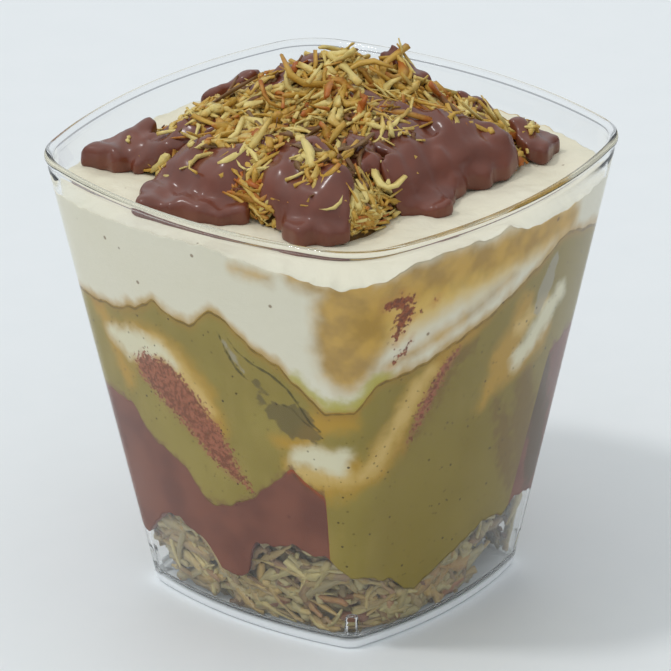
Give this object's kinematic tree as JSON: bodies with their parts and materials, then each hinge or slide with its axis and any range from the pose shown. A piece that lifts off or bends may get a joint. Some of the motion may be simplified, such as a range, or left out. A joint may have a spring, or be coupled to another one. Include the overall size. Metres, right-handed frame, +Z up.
{
  "type": "tiramisu cup",
  "caption": "Clear square beaker with bowed sides, filled with layered cream over shredded pastry, topped with a heap of pastry shreds and milk chocolate.",
  "frame": {"origin": "middle of the foot, on the surface that the cup stands on", "axes": "+Z up along the cup's axis, +X and +Y through the middles of two neighbouring sides"},
  "size_m": [0.0762, 0.0762, 0.0855],
  "materials": {
    "clear_cup": "clear moulded plastic",
    "shredded_pastry": "crisp baked shreds, light green to toasted brown",
    "chocolate_cream": "smooth chocolate cream",
    "pistachio_cream": "smooth green nut cream",
    "white_cream": "smooth white cream",
    "milk_chocolate": "set milk chocolate with a soft gloss"
  },
  "bodies": {
    "root": {"cup": "clear_cup", "pastry_bed": "shredded_pastry", "chocolate_cream": "chocolate_cream", "pistachio_cream": "pistachio_cream", "white_cream": "white_cream", "pastry_topping": "shredded_pastry", "chocolate_left_lobe": "milk_chocolate", "chocolate_left_drip": "milk_chocolate", "chocolate_front_drip": "milk_chocolate", "chocolate_middle_sheet": "milk_chocolate", "chocolate_front_pool": "milk_chocolate", "chocolate_right_lobe": "milk_chocolate", "chocolate_right_pool": "milk_chocolate", "chocolate_top_lump": "milk_chocolate", "chocolate_back_pool": "milk_chocolate", "chocolate_back_lobe": "milk_chocolate", "chocolate_shard": "milk_chocolate"}
  },
  "joints": []
}
